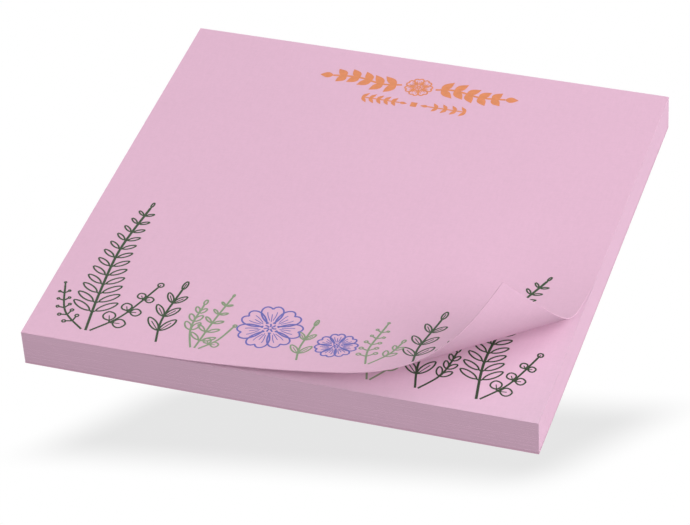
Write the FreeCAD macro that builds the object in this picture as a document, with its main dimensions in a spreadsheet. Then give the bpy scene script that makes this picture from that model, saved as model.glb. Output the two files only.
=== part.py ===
import FreeCAD, Part
import Sketcher

import os

# Sticky note pad: a glued block of square notes on a backing sheet, with the
# first note curled up at its front right corner.
#
# Frame: millimetres, +Z up, +Y towards the glued back edge, +X to the right of
# somebody who writes on the pad. The origin is the middle of the pad's underside.

SIZES = (
    ("pad_width", 76.0, "left to right"),
    ("pad_depth", 76.0, "front edge to glued back edge"),
    ("note_thickness", 0.11, "one note"),
    ("note_count", 50, "notes in the pad, the curled one among them"),
    ("backing_thickness", 0.3, "stiff sheet under the last note"),
    ("front_flat_run", 7.0, "front edge that still lies flat, from the left corner"),
    ("side_flat_run", 38.7, "right edge that still lies flat, from the back corner"),
    ("ruling_power", 0.573, "how the rulings fan out towards the corner"),
    ("lift_angle", 19.5, "gentle rise of the note, in degrees"),
    ("lift_end", 0.75, "share of the curl over which the note rises"),
    ("curl_angle", 77.0, "tight curl of the corner, in degrees"),
    ("curl_start", 0.565, "share of the curl where the tight part begins"),
    ("ruling_count", 32, "straight rulings that carry the curled surface"),
)

STACK_HEIGHT = "(Sizes.note_count - 1) * Sizes.note_thickness"
SEWING_TOLERANCE = 1e-4
AREA_TOLERANCE = 0.002


def fill_sheet(doc):
    """Writes the driving dimensions, one row each, and gives each an alias."""
    sheet = doc.addObject("Spreadsheet::Sheet", "Sizes")
    for row, (alias, value, meaning) in enumerate(SIZES, start=1):
        sheet.set(f"A{row}", alias)
        sheet.set(f"B{row}", str(value))
        sheet.setAlias(f"B{row}", alias)
        sheet.set(f"C{row}", meaning)
    doc.recompute()
    return sheet


def origin_plane(body, role):
    """Returns the body's own origin plane with this role."""
    return next(item for item in body.Origin.OriginFeatures if item.Role == role)


def rectangle_sketch(body, name):
    """Draws the pad's outline in the body's XY plane, centred on its origin."""
    sketch = body.newObject("Sketcher::SketchObject", name)
    sketch.AttachmentSupport = [(origin_plane(body, "XY_Plane"), "")]
    sketch.MapMode = "FlatFace"
    corners = [FreeCAD.Vector(x, y, 0) for x, y in ((-1, -1), (1, -1), (1, 1), (-1, 1))]
    for start, end in zip(corners, corners[1:] + corners[:1]):
        sketch.addGeometry(Part.LineSegment(start, end), False)
    for side in range(4):
        joined = (side + 1) % 4
        sketch.addConstraint(Sketcher.Constraint("Coincident", side, 2, joined, 1))
    for side, direction in enumerate(("Horizontal", "Vertical", "Horizontal", "Vertical")):
        sketch.addConstraint(Sketcher.Constraint(direction, side))
    sketch.addConstraint(Sketcher.Constraint("Symmetric", 0, 1, 2, 1, -1, 1))
    for side, kind, constraint, alias in (
        (0, "DistanceX", "width", "pad_width"),
        (1, "DistanceY", "depth", "pad_depth"),
    ):
        index = sketch.addConstraint(Sketcher.Constraint(kind, side, 1, side, 2, 2.0))
        sketch.renameConstraint(index, constraint)
        sketch.setExpression(f"Constraints.{constraint}", f"Sizes.{alias}")
    return sketch


def padded_block(doc, label, height, base_height):
    """Makes a square block of sheets whose height and place are expressions."""
    body = doc.addObject("PartDesign::Body", label)
    body.Label = label
    outline = rectangle_sketch(body, f"{label}_outline")
    pad = body.newObject("PartDesign::Pad", f"{label}_pad")
    pad.Profile = outline
    pad.setExpression("Length", height)
    outline.Visibility = False
    if base_height:
        body.setExpression("Placement.Base.z", base_height)
    return body


def smoothstep(share):
    """Rises from 0 to 1 with no slope at either end."""
    share = min(max(share, 0.0), 1.0)
    return share * share * (3.0 - 2.0 * share)


def bend_so_far(sheet, share):
    """Degrees that the note has turned at this share of the way to its corner."""
    lift = sheet.lift_angle * smoothstep(share / sheet.lift_end)
    curl_share = (share - sheet.curl_start) / (1.0 - sheet.curl_start)
    return lift + sheet.curl_angle * smoothstep(curl_share)


def curl_rulings(sheet):
    """Folds the note's front right corner about one straight ruling after another.

    Each small fold turns only what lies beyond its ruling, so no length on the
    note changes. Returns the rulings' front ends, their right ends, the upward
    normals there, the tip of the corner and the tip's normal, for a note whose
    underside lies at height 0.
    """
    half_width = sheet.pad_width / 2.0
    half_depth = sheet.pad_depth / 2.0
    front_reach = sheet.pad_width - sheet.front_flat_run
    side_reach = sheet.pad_depth - sheet.side_flat_run
    count = int(sheet.ruling_count)
    up = FreeCAD.Vector(0, 0, 1)
    turned = FreeCAD.Placement()
    front_ends, side_ends, normals = [], [], []
    for index in range(count):
        share = (index + 0.5) / count
        to_corner = 1.0 - share
        front = FreeCAD.Vector(half_width - front_reach * to_corner, -half_depth, 0)
        climb = side_reach * to_corner**sheet.ruling_power
        side = FreeCAD.Vector(half_width, climb - half_depth, 0)
        fold = bend_so_far(sheet, (index + 1) / count) - bend_so_far(sheet, index / count)
        front_ends.append(turned.multVec(front))
        side_ends.append(turned.multVec(side))
        hinge = front - side
        half_fold = FreeCAD.Placement(FreeCAD.Vector(), FreeCAD.Rotation(hinge, fold / 2.0), side)
        full_fold = FreeCAD.Placement(FreeCAD.Vector(), FreeCAD.Rotation(hinge, fold), side)
        normals.append(turned.multiply(half_fold).Rotation.multVec(up))
        turned = turned.multiply(full_fold)
    tip = turned.multVec(FreeCAD.Vector(half_width, -half_depth, 0))
    tip_normal = turned.Rotation.multVec(up)
    normals[0] = up
    normals[-1] = tip_normal
    return front_ends, side_ends, normals, tip, tip_normal


def smooth_pieces(points):
    """Runs one smooth curve through the points and cuts it into an edge for each gap."""
    curve = Part.BSplineCurve()
    curve.interpolate(Points=points, Parameters=[float(i) for i in range(len(points))])
    return [curve.toShape(i, i + 1) for i in range(len(points) - 1)]


def flat_face(points):
    """Closes the points into a flat face."""
    return Part.Face(Part.makePolygon(points + points[:1]))


def raised(points, normals, thickness):
    """Moves each point off the underside by one note's thickness."""
    return [point + normal * thickness for point, normal in zip(points, normals)]


def curled_note(sheet):
    """Builds the curled note as one closed solid: a flat part, a curl and a tip."""
    half_width = sheet.pad_width / 2.0
    half_depth = sheet.pad_depth / 2.0
    thickness = sheet.note_thickness
    up = FreeCAD.Vector(0, 0, 1)
    front_low, side_low, normals, tip_low, tip_normal = curl_rulings(sheet)
    front_high = raised(front_low, normals, thickness)
    side_high = raised(side_low, normals, thickness)
    tip_high = tip_low + tip_normal * thickness

    # Flat part: from the first ruling back to the glued edge.
    flat_low = [
        front_low[0],
        side_low[0],
        FreeCAD.Vector(half_width, half_depth, 0),
        FreeCAD.Vector(-half_width, half_depth, 0),
        FreeCAD.Vector(-half_width, -half_depth, 0),
    ]
    flat_high = raised(flat_low, [up] * len(flat_low), thickness)
    faces = [flat_face(flat_low), flat_face(flat_high)]
    for corner in range(1, len(flat_low)):
        joined = (corner + 1) % len(flat_low)
        faces.append(
            flat_face([flat_low[corner], flat_low[joined], flat_high[joined], flat_high[corner]])
        )

    # Curl: strips from each ruling to the next, straight along the rulings.
    low_and_high = [
        smooth_pieces(points) for points in (front_low, side_low, front_high, side_high)
    ]
    for front_under, side_under, front_over, side_over in zip(*low_and_high):
        faces += [
            Part.makeRuledSurface(front_under, side_under),
            Part.makeRuledSurface(front_over, side_over),
            Part.makeRuledSurface(front_under, front_over),
            Part.makeRuledSurface(side_under, side_over),
        ]

    # Tip: the flat corner beyond the last ruling.
    faces += [
        flat_face([front_low[-1], side_low[-1], tip_low]),
        flat_face([front_high[-1], side_high[-1], tip_high]),
        flat_face([front_low[-1], tip_low, tip_high, front_high[-1]]),
        flat_face([side_low[-1], tip_low, tip_high, side_high[-1]]),
    ]

    shell = Part.makeShell(faces)
    shell.sewShape(SEWING_TOLERANCE)
    solid = Part.makeSolid(shell)
    if solid.Volume < 0:
        solid.reverse()
    return solid


def add_top_note(doc, sheet):
    """Adds the curled note, with its underside on the stack."""
    note = doc.addObject("Part::Feature", "top_note")
    note.Label = "top_note"
    note.Shape = curled_note(sheet)
    under_note = sheet.backing_thickness + (sheet.note_count - 1) * sheet.note_thickness
    note.Placement = FreeCAD.Placement(FreeCAD.Vector(0, 0, under_note), FreeCAD.Rotation())
    return note


def check_document(doc, pieces, sheet):
    """Raises an error if anything in the model failed or changed its size."""
    for item in doc.Objects:
        if "Invalid" in item.State or "Error" in item.State:
            raise RuntimeError(f"{item.Label} failed: {item.State}")
    for piece in pieces:
        shape = piece.Shape
        if shape.isNull() or not shape.isValid() or len(shape.Solids) != 1:
            raise RuntimeError(f"{piece.Label} isn't one valid solid")
    flat_volume = sheet.pad_width * sheet.pad_depth * sheet.note_thickness
    stretch = pieces[-1].Shape.Volume / flat_volume - 1.0
    print(f"curled note's volume against the flat one's: {stretch:+.5f}")
    if abs(stretch) > AREA_TOLERANCE:
        raise RuntimeError("the curl stretches the note")


def main():
    doc = FreeCAD.newDocument("sticky_note_pad")
    sheet = fill_sheet(doc)
    pieces = [
        padded_block(doc, "backing_sheet", "Sizes.backing_thickness", ""),
        padded_block(doc, "sheet_stack", STACK_HEIGHT, "Sizes.backing_thickness"),
        add_top_note(doc, sheet),
    ]
    doc.recompute()
    check_document(doc, pieces, sheet)
    os.makedirs("parts", exist_ok=True)
    for piece in pieces:
        piece.Shape.exportStep(f"parts/{piece.Label}.step")
        print(piece.Label, piece.Shape.BoundBox)


main()
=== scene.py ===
"""Looks of a pad of self-stick notes: a curled first note, the glued block under it and its print."""

import logging
import math
from dataclasses import dataclass, field
from enum import Enum
from functools import cached_property
from typing import Optional, Sequence, Union

import bpy
import bmesh
from mathutils import Matrix, Vector


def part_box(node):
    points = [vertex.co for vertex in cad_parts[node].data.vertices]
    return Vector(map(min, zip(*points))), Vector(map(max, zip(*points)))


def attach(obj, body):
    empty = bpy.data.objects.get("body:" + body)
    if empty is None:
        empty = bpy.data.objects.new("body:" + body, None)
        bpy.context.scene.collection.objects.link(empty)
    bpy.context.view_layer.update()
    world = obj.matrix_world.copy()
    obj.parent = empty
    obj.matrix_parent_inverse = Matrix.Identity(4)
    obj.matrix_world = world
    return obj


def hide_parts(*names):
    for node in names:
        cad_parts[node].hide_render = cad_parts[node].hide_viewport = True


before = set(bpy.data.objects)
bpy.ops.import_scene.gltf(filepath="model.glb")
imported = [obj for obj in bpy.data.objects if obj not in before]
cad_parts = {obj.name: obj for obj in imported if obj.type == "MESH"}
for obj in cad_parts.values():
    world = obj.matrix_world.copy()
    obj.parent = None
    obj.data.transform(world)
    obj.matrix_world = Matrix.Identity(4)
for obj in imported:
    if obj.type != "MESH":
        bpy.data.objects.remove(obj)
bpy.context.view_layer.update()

MM = 0.001
TINY = 1e-6
BODY = "root"
LOG = logging.getLogger("sticky_note_pad")

NOTE_COUNT = 50
SHEET_MAP = "OFBake"
CUT_EDGE = "cut_edge"

Value = Union[float, int, bpy.types.NodeSocket]
Colour = tuple[float, float, float]


def as_linear(red: int, green: int, blue: int) -> Colour:
    """Turns an eight-bit display colour into the linear colour that a shader takes.

    Args:
        red: Red, 0 to 255.
        green: Green, 0 to 255.
        blue: Blue, 0 to 255.

    Returns:
        The three linear values.
    """
    def linear(level: int) -> float:
        """Undoes the display curve for one channel."""
        share = level / 255.0
        return share / 12.92 if share <= 0.04045 else ((share + 0.055) / 1.055) ** 2.4

    return linear(red), linear(green), linear(blue)


FIRST_NOTE_PINK = as_linear(226, 183, 207)
# The second note's pink is paler than the cut sides' pink: painted light that lifts the shade on the block's
# level top under the curl.
SECOND_NOTE_PINK_PAINTED_PALER = as_linear(228, 193, 214)
CUT_SIDE_PINK = as_linear(227, 187, 210)
BACKING_PINK = as_linear(222, 176, 200)


@dataclass
class TreeMaker:
    """Adds nodes to one tree and links them as it goes.

    Attributes:
        tree: The node tree under construction.
    """

    tree: bpy.types.NodeTree

    def add(self, kind: str, **settings: object) -> bpy.types.Node:
        """Adds a node of this type and gives it these properties.

        Args:
            kind: The node's type name.
            **settings: Properties of the node, by name.

        Returns:
            The new node.
        """
        node = self.tree.nodes.new(kind)
        for name, value in settings.items():
            setattr(node, name, value)
        return node

    def feed(self, socket: bpy.types.NodeSocket, value: object) -> None:
        """Links a socket to the input, or sets the input's own value.

        Args:
            socket: The input.
            value: A socket to link to it, or a plain value.
        """
        if isinstance(value, bpy.types.NodeSocket):
            self.tree.links.new(value, socket)
        else:
            socket.default_value = value

    def wired(self, kind: str, inputs: dict[str, object], **settings: object) -> bpy.types.Node:
        """Adds a node with its properties and feeds its named inputs.

        Args:
            kind: The node's type name.
            inputs: Sockets or plain values, by the input's name.
            **settings: Properties of the node, by name.

        Returns:
            The new node.
        """
        node = self.add(kind, **settings)
        for name, value in inputs.items():
            self.feed(node.inputs[name], value)
        return node

    def in_order(self, node: bpy.types.Node, values: Sequence[object]) -> bpy.types.Node:
        """Feeds a node's first inputs one after another.

        Args:
            node: The node.
            values: Sockets or plain values.

        Returns:
            The same node.
        """
        for socket, value in zip(node.inputs, values):
            self.feed(socket, value)
        return node

    def math(self, operation: str, *values: Value, clamp: bool = False) -> bpy.types.NodeSocket:
        """Adds a Math node and returns its result, kept between 0 and 1 if clamped."""
        node = self.add("ShaderNodeMath", operation=operation, use_clamp=clamp)
        return self.in_order(node, values).outputs[0]

    def vector(self, operation: str, *values: object) -> bpy.types.NodeSocket:
        """Adds a Vector Math node and returns its vector result."""
        return self.in_order(self.add("ShaderNodeVectorMath", operation=operation), values).outputs[0]

    def combine(self, x: Value = 0.0, y: Value = 0.0, z: Value = 0.0) -> bpy.types.NodeSocket:
        """Joins three numbers into a vector."""
        return self.in_order(self.add("ShaderNodeCombineXYZ"), (x, y, z)).outputs[0]

    def separate(self, vector: bpy.types.NodeSocket) -> tuple[bpy.types.NodeSocket, ...]:
        """Splits a vector into its three numbers."""
        return tuple(self.in_order(self.add("ShaderNodeSeparateXYZ"), (vector,)).outputs)

    def ranged(self, kind: str, *values: Value) -> bpy.types.NodeSocket:
        """Carries a number over from one range to another, evenly or with no slope at the ends."""
        return self.in_order(self.add("ShaderNodeMapRange", interpolation_type=kind), values).outputs[0]


class Place(Enum):
    """Where a material's pattern is anchored."""

    OBJECT = "object"
    FLAT_NOTE = "flat_place"


@dataclass
class ShaderTree(TreeMaker):
    """The node tree of a material or of the room."""

    @classmethod
    def start(cls, owner: Union[bpy.types.Material, bpy.types.World]) -> "ShaderTree":
        """Opens an empty tree.

        Args:
            owner: The material or the world that the tree belongs to.

        Returns:
            The tree.
        """
        owner.use_nodes = True
        owner.node_tree.nodes.clear()
        return cls(owner.node_tree)

    def end_with(self, surface: bpy.types.NodeSocket, kind: str = "ShaderNodeOutputMaterial") -> None:
        """Shows a shader as the surface."""
        self.wired(kind, {"Surface": surface})

    def place(self, kind: Place) -> bpy.types.NodeSocket:
        """Gives the point being shaded.

        Args:
            kind: Whether it is meant on the object, or on the note before it was curled.

        Returns:
            The socket that holds the point, in metres.
        """
        if kind is Place.OBJECT:
            return self.add("ShaderNodeTexCoord").outputs["Object"]
        return self.add("ShaderNodeAttribute", attribute_name=kind.value).outputs["Vector"]

    def noise(
        self, spot: bpy.types.NodeSocket, scales: Sequence[float], detail: float
    ) -> bpy.types.NodeSocket:
        """Adds a Noise Texture, finer along each axis by its scale, whose value lies about 0.5."""
        inputs = {"Vector": self.vector("MULTIPLY", spot, tuple(scales)), "Scale": 1.0, "Detail": detail}
        return self.wired("ShaderNodeTexNoise", inputs).outputs["Fac"]

    def tinted(self, colour: object, shade: bpy.types.NodeSocket) -> bpy.types.NodeSocket:
        """Multiplies a colour by a number.

        Args:
            colour: A linear colour, or a socket that holds one.
            shade: The number.

        Returns:
            The socket that holds the darker or lighter colour.
        """
        node = self.wired("ShaderNodeVectorMath", {"Scale": shade}, operation="SCALE")
        self.feed(node.inputs[0], colour)
        return node.outputs[0]

    def dyed(self, share: bpy.types.NodeSocket, first: Colour, second: Colour) -> bpy.types.NodeSocket:
        """Goes from the first colour to the second with the share."""
        step = tuple(end - start for start, end in zip(first, second))
        return self.vector("MULTIPLY_ADD", self.combine(share, share, share), step, first)

    def blend(self, share: bpy.types.NodeSocket, first: Value, second: Value) -> bpy.types.NodeSocket:
        """Goes from the first number to the second with the share."""
        return self.math("ADD", self.math("MULTIPLY", self.math("SUBTRACT", second, first), share), first)

    def matte(self, colour: bpy.types.NodeSocket, roughness: float, gloss: float) -> bpy.types.Node:
        """Adds the shader of a matte surface."""
        inputs = {"Base Color": colour, "Roughness": roughness, "Specular IOR Level": gloss}
        return self.wired("ShaderNodeBsdfPrincipled", inputs)

    def seen_directly(self) -> bpy.types.NodeSocket:
        """Tells the rays that show a thing from those that light others by it.

        Returns:
            A socket that is 1 for rays straight from the camera, in a gloss or through glass, or else 0.
        """
        rays = self.add("ShaderNodeLightPath")
        direct = self.math("ADD", rays.outputs["Is Camera Ray"], rays.outputs["Is Glossy Ray"])
        return self.math("ADD", direct, rays.outputs["Is Transmission Ray"], clamp=True)

    def upright(self) -> bpy.types.NodeSocket:
        """Is 1 on upright faces and 0 on level ones."""
        _, _, z = self.separate(self.add("ShaderNodeTexCoord").outputs["Normal"])
        return self.math("LESS_THAN", self.math("ABSOLUTE", z), 0.5)


@dataclass
class GeometryTree(TreeMaker):
    """A Geometry Nodes tree with named inputs.

    Attributes:
        group_input: The node that gives the tree's inputs.
        group_output: The node that takes the tree's result.
    """

    group_input: bpy.types.Node
    group_output: bpy.types.Node

    @classmethod
    def create(cls, name: str, sizes: Sequence[str] = (), counts: Sequence[str] = ()) -> "GeometryTree":
        """Starts a tree that takes and gives geometry.

        Args:
            name: The tree's name.
            sizes: Names of its number inputs.
            counts: Names of its whole-number inputs.

        Returns:
            The tree, with its input and output nodes.
        """
        tree = bpy.data.node_groups.new(name, "GeometryNodeTree")
        tree.is_modifier = True
        tree.interface.new_socket("Geometry", in_out="INPUT", socket_type="NodeSocketGeometry")
        for size in sizes:
            tree.interface.new_socket(size, in_out="INPUT", socket_type="NodeSocketFloat")
        for count in counts:
            tree.interface.new_socket(count, in_out="INPUT", socket_type="NodeSocketInt")
        tree.interface.new_socket("Finish", in_out="INPUT", socket_type="NodeSocketMaterial")
        tree.interface.new_socket("Geometry", in_out="OUTPUT", socket_type="NodeSocketGeometry")
        return cls(tree, tree.nodes.new("NodeGroupInput"), tree.nodes.new("NodeGroupOutput"))

    def given(self, name: str) -> bpy.types.NodeSocket:
        """Returns the socket of one named input."""
        return self.group_input.outputs[name]

    def position(self) -> bpy.types.NodeSocket:
        """Gives each point's place."""
        return self.add("GeometryNodeInputPosition").outputs[0]

    def named(self, data_type: str, name: str) -> bpy.types.NodeSocket:
        """Reads an attribute."""
        return self.wired("GeometryNodeInputNamedAttribute", {"Name": name}, data_type=data_type).outputs[0]

    def store(
        self, data_type: str, domain: str, name: str, geometry: bpy.types.NodeSocket, value: object
    ) -> bpy.types.NodeSocket:
        """Keeps a value as an attribute of the geometry.

        Args:
            data_type: The attribute's type.
            domain: What it belongs to, such as POINT.
            name: Its name.
            geometry: The geometry.
            value: A socket or a plain value.

        Returns:
            The socket that holds the geometry with its attribute.
        """
        inputs = {"Geometry": geometry, "Name": name, "Value": value}
        kind = "GeometryNodeStoreNamedAttribute"
        return self.wired(kind, inputs, data_type=data_type, domain=domain).outputs[0]

    def moved(self, geometry: bpy.types.NodeSocket, **inputs: object) -> bpy.types.NodeSocket:
        """Moves points. The other inputs are those of a Set Position node, by name."""
        return self.wired("GeometryNodeSetPosition", {"Geometry": geometry, **inputs}).outputs[0]

    def joined(self, *parts: bpy.types.NodeSocket) -> bpy.types.NodeSocket:
        """Joins geometry.

        Args:
            *parts: The sockets that hold it.

        Returns:
            The socket that holds all of it.
        """
        node = self.add("GeometryNodeJoinGeometry")
        for part in parts:
            self.feed(node.inputs[0], part)
        return node.outputs[0]

    def drawn_number(
        self, low: Value, high: Value, seed: Value, turn: Optional[bpy.types.NodeSocket] = None
    ) -> bpy.types.NodeSocket:
        """Draws a random number.

        Args:
            low: The least that it can be.
            high: The most that it can be.
            seed: Start of the draws.
            turn: Which draw it is, or None for one draw to each element.

        Returns:
            The socket that holds the number.
        """
        node = self.wired("FunctionNodeRandomValue", {"Seed": seed}, data_type="FLOAT")
        self.feed(node.inputs[2], low)
        self.feed(node.inputs[3], high)
        if turn is not None:
            self.feed(node.inputs["ID"], turn)
        return node.outputs[1]

    def repeat(
        self, times: bpy.types.NodeSocket, geometry: bpy.types.NodeSocket
    ) -> tuple[bpy.types.Node, bpy.types.Node]:
        """Opens a part of the tree that runs again and again.

        Args:
            times: How often.
            geometry: What the first run starts from.

        Returns:
            The nodes at the start and at the end of that part.
        """
        start = self.add("GeometryNodeRepeatInput")
        end = self.add("GeometryNodeRepeatOutput")
        start.pair_with_output(end)
        self.feed(start.inputs["Iterations"], times)
        self.feed(start.inputs["Geometry"], geometry)
        return start, end

    def resampled(self, curves: bpy.types.NodeSocket, length: Value) -> bpy.types.NodeSocket:
        """Sets points along the curves at this distance."""
        inputs = {"Curve": curves, "Length": length}
        return self.wired("GeometryNodeResampleCurve", inputs, mode="LENGTH").outputs[0]

    def finish_with(self, geometry: bpy.types.NodeSocket) -> None:
        """Ends the tree in real geometry that carries its material.

        Args:
            geometry: The geometry that the tree has made.
        """
        realized = self.wired("GeometryNodeRealizeInstances", {"Geometry": geometry})
        inputs = {"Geometry": realized.outputs[0], "Material": self.given("Finish")}
        self.feed(self.group_output.inputs[0], self.wired("GeometryNodeSetMaterial", inputs).outputs[0])


def run_tree(
    source: bpy.types.Object, tree: bpy.types.NodeTree, values: dict[str, object], name: str
) -> bpy.types.Object:
    """Runs a Geometry Nodes tree on an object and keeps the result as a plain mesh.

    Args:
        source: The object whose geometry goes in. It is deleted.
        tree: The tree to run.
        values: Values of the tree's inputs, by name.
        name: The new object's name.

    Returns:
        The object that holds the result, at the origin, with no modifier.
    """
    modifier = source.modifiers.new("shape", "NODES")
    modifier.node_group = tree
    for item in tree.interface.items_tree:
        if item.item_type == "SOCKET" and item.in_out == "INPUT" and item.name in values:
            modifier[item.identifier] = values[item.name]
    graph = bpy.context.evaluated_depsgraph_get()
    mesh = bpy.data.meshes.new_from_object(source.evaluated_get(graph), depsgraph=graph)
    source.modifiers.remove(modifier)
    bpy.data.objects.remove(source)
    mesh.name = name
    result = bpy.data.objects.new(name, mesh)
    bpy.context.collection.objects.link(result)
    return result


def empty_mesh(name: str) -> bpy.types.Object:
    """Makes an object with no geometry, for a tree that makes its own.

    Args:
        name: The object's name.

    Returns:
        The new object.
    """
    thing = bpy.data.objects.new(name, bpy.data.meshes.new(name))
    bpy.context.collection.objects.link(thing)
    return thing


@dataclass(frozen=True)
class CurlShape:
    """The first note's curl, in metres and radians, as in the solid note.

    Attributes:
        front_flat_run: Length of the front edge that still lies flat.
        side_flat_run: Length of the right edge that still lies flat.
        ruling_power: How the straight rulings fan out towards the corner.
        lift_angle: Gentle rise of the note.
        lift_end: Share of the curl over which the note rises.
        curl_angle: Tight curl of the corner.
        curl_start: Share of the curl where the tight part begins.
        folds: Small folds that stand for the smooth bend.
        clear_from: Share of the curl from which the note stands clear of the one below.
    """

    front_flat_run: float = 7.0 * MM
    side_flat_run: float = 38.7 * MM
    ruling_power: float = 0.573
    lift_angle: float = math.radians(19.5)
    lift_end: float = 0.75
    curl_angle: float = math.radians(77.0)
    curl_start: float = 0.565
    folds: int = 48
    clear_from: float = 0.2

    @staticmethod
    def tree() -> bpy.types.NodeTree:
        """Makes the tree that curls anything that lies flat on the note.

        The folds run from the corner inwards. Each one turns what lies beyond its
        own straight ruling, as measured on the flat note, so no length changes.

        Returns:
            The tree.
        """
        sizes = (
            "Width", "Depth", "Hinge Height", "Front Flat Run", "Side Flat Run",
            "Ruling Power", "Lift Angle", "Lift End", "Curl Angle", "Curl Start",
        )
        maker = GeometryTree.create("curl_corner", sizes, ("Folds",))
        place_name = Place.FLAT_NOTE.value
        flat = maker.store("FLOAT_VECTOR", "POINT", place_name, maker.given("Geometry"), maker.position())
        folds = maker.given("Folds")
        start, end = maker.repeat(folds, flat)

        half_width = maker.math("MULTIPLY", maker.given("Width"), 0.5)
        half_depth = maker.math("MULTIPLY", maker.given("Depth"), 0.5)
        front_reach = maker.math("SUBTRACT", maker.given("Width"), maker.given("Front Flat Run"))
        side_reach = maker.math("SUBTRACT", maker.given("Depth"), maker.given("Side Flat Run"))
        flat_x, flat_y, _ = maker.separate(maker.named("FLOAT_VECTOR", place_name))
        from_right = maker.math("SUBTRACT", half_width, flat_x)
        from_front = maker.math("ADD", flat_y, half_depth)

        def bend(share: bpy.types.NodeSocket) -> bpy.types.NodeSocket:
            """Adds up the rise and the curl.

            Args:
                share: Share of the way to the corner.

            Returns:
                The angle by which the note has turned there.
            """
            rise = (0.0, maker.given("Lift End"), 0.0, maker.given("Lift Angle"))
            curl = (maker.given("Curl Start"), 1.0, 0.0, maker.given("Curl Angle"))
            return maker.math("ADD", *(maker.ranged("SMOOTHSTEP", share, *part) for part in (rise, curl)))

        def reaches(share: bpy.types.NodeSocket) -> tuple[bpy.types.NodeSocket, bpy.types.NodeSocket]:
            """Gives a ruling's distances from the corner.

            Args:
                share: Share of the way to the corner.

            Returns:
                The distances along the front edge and up the right one.
            """
            left = maker.math("SUBTRACT", 1.0, share)
            climb = maker.math("POWER", left, maker.given("Ruling Power"))
            return maker.math("MULTIPLY", front_reach, left), maker.math("MULTIPLY", side_reach, climb)

        def outside(share: bpy.types.NodeSocket) -> bpy.types.NodeSocket:
            """Tells on which side of a ruling a point of the flat note lies.

            Args:
                share: Share of the way to the corner at which the ruling runs.

            Returns:
                A number above 0 on the flat side and below 0 beyond the ruling.
            """
            along, up = reaches(share)
            across = maker.math("DIVIDE", from_right, along)
            inwards = maker.math("DIVIDE", from_front, up)
            return maker.math("SUBTRACT", maker.math("ADD", across, inwards), 1.0)

        # Shares of the way to the corner: where this fold starts, its middle and its end.
        later = maker.math("SUBTRACT", folds, start.outputs["Iteration"])
        begin = maker.math("DIVIDE", maker.math("SUBTRACT", later, 1.0), folds)
        middle = maker.math("DIVIDE", maker.math("SUBTRACT", later, 0.5), folds)
        close = maker.math("DIVIDE", later, folds)
        last = maker.math("DIVIDE", maker.math("SUBTRACT", folds, 0.25), folds)

        # Points between a fold's start and end turn by a part of its angle.
        outside_begin = outside(begin)
        outside_close = outside(maker.math("MINIMUM", close, last))
        spread = maker.math("MAXIMUM", maker.math("SUBTRACT", outside_close, outside_begin), TINY)
        passed = maker.math("DIVIDE", maker.math("MULTIPLY", outside_begin, -1.0), spread, clamp=True)
        fold = maker.math("SUBTRACT", bend(close), bend(begin))

        along, up = reaches(middle)
        hinge_y = maker.math("SUBTRACT", up, half_depth)
        inputs = {
            "Vector": maker.position(),
            "Center": maker.combine(half_width, hinge_y, maker.given("Hinge Height")),
            "Axis": maker.combine(maker.math("MULTIPLY", along, -1.0), maker.math("MULTIPLY", up, -1.0)),
            "Angle": maker.math("MULTIPLY", fold, passed),
        }
        turned = maker.wired("ShaderNodeVectorRotate", inputs, rotation_type="AXIS_ANGLE")
        bent = maker.moved(start.outputs["Geometry"], Position=turned.outputs[0])
        maker.feed(end.inputs["Geometry"], bent)
        maker.finish_with(end.outputs["Geometry"])
        return maker.tree

    def ruling(self, width: float, depth: float, share: float) -> tuple[float, float]:
        """Gives a ruling's distances from the corner, along the front edge and up the right one."""
        along = (width - self.front_flat_run) * (1.0 - share)
        return along, (depth - self.side_flat_run) * (1.0 - share) ** self.ruling_power

    def values(self, width: float, depth: float, hinge_height: float) -> dict[str, object]:
        """Gives the tree's inputs for one note.

        Args:
            width: The note's width.
            depth: The note's depth.
            hinge_height: Height of its underside, about which it folds.

        Returns:
            Values by the inputs' names.
        """
        return {
            "Width": width,
            "Depth": depth,
            "Hinge Height": hinge_height,
            "Front Flat Run": self.front_flat_run,
            "Side Flat Run": self.side_flat_run,
            "Ruling Power": self.ruling_power,
            "Lift Angle": self.lift_angle,
            "Lift End": self.lift_end,
            "Curl Angle": self.curl_angle,
            "Curl Start": self.curl_start,
            "Folds": self.folds,
        }


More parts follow.
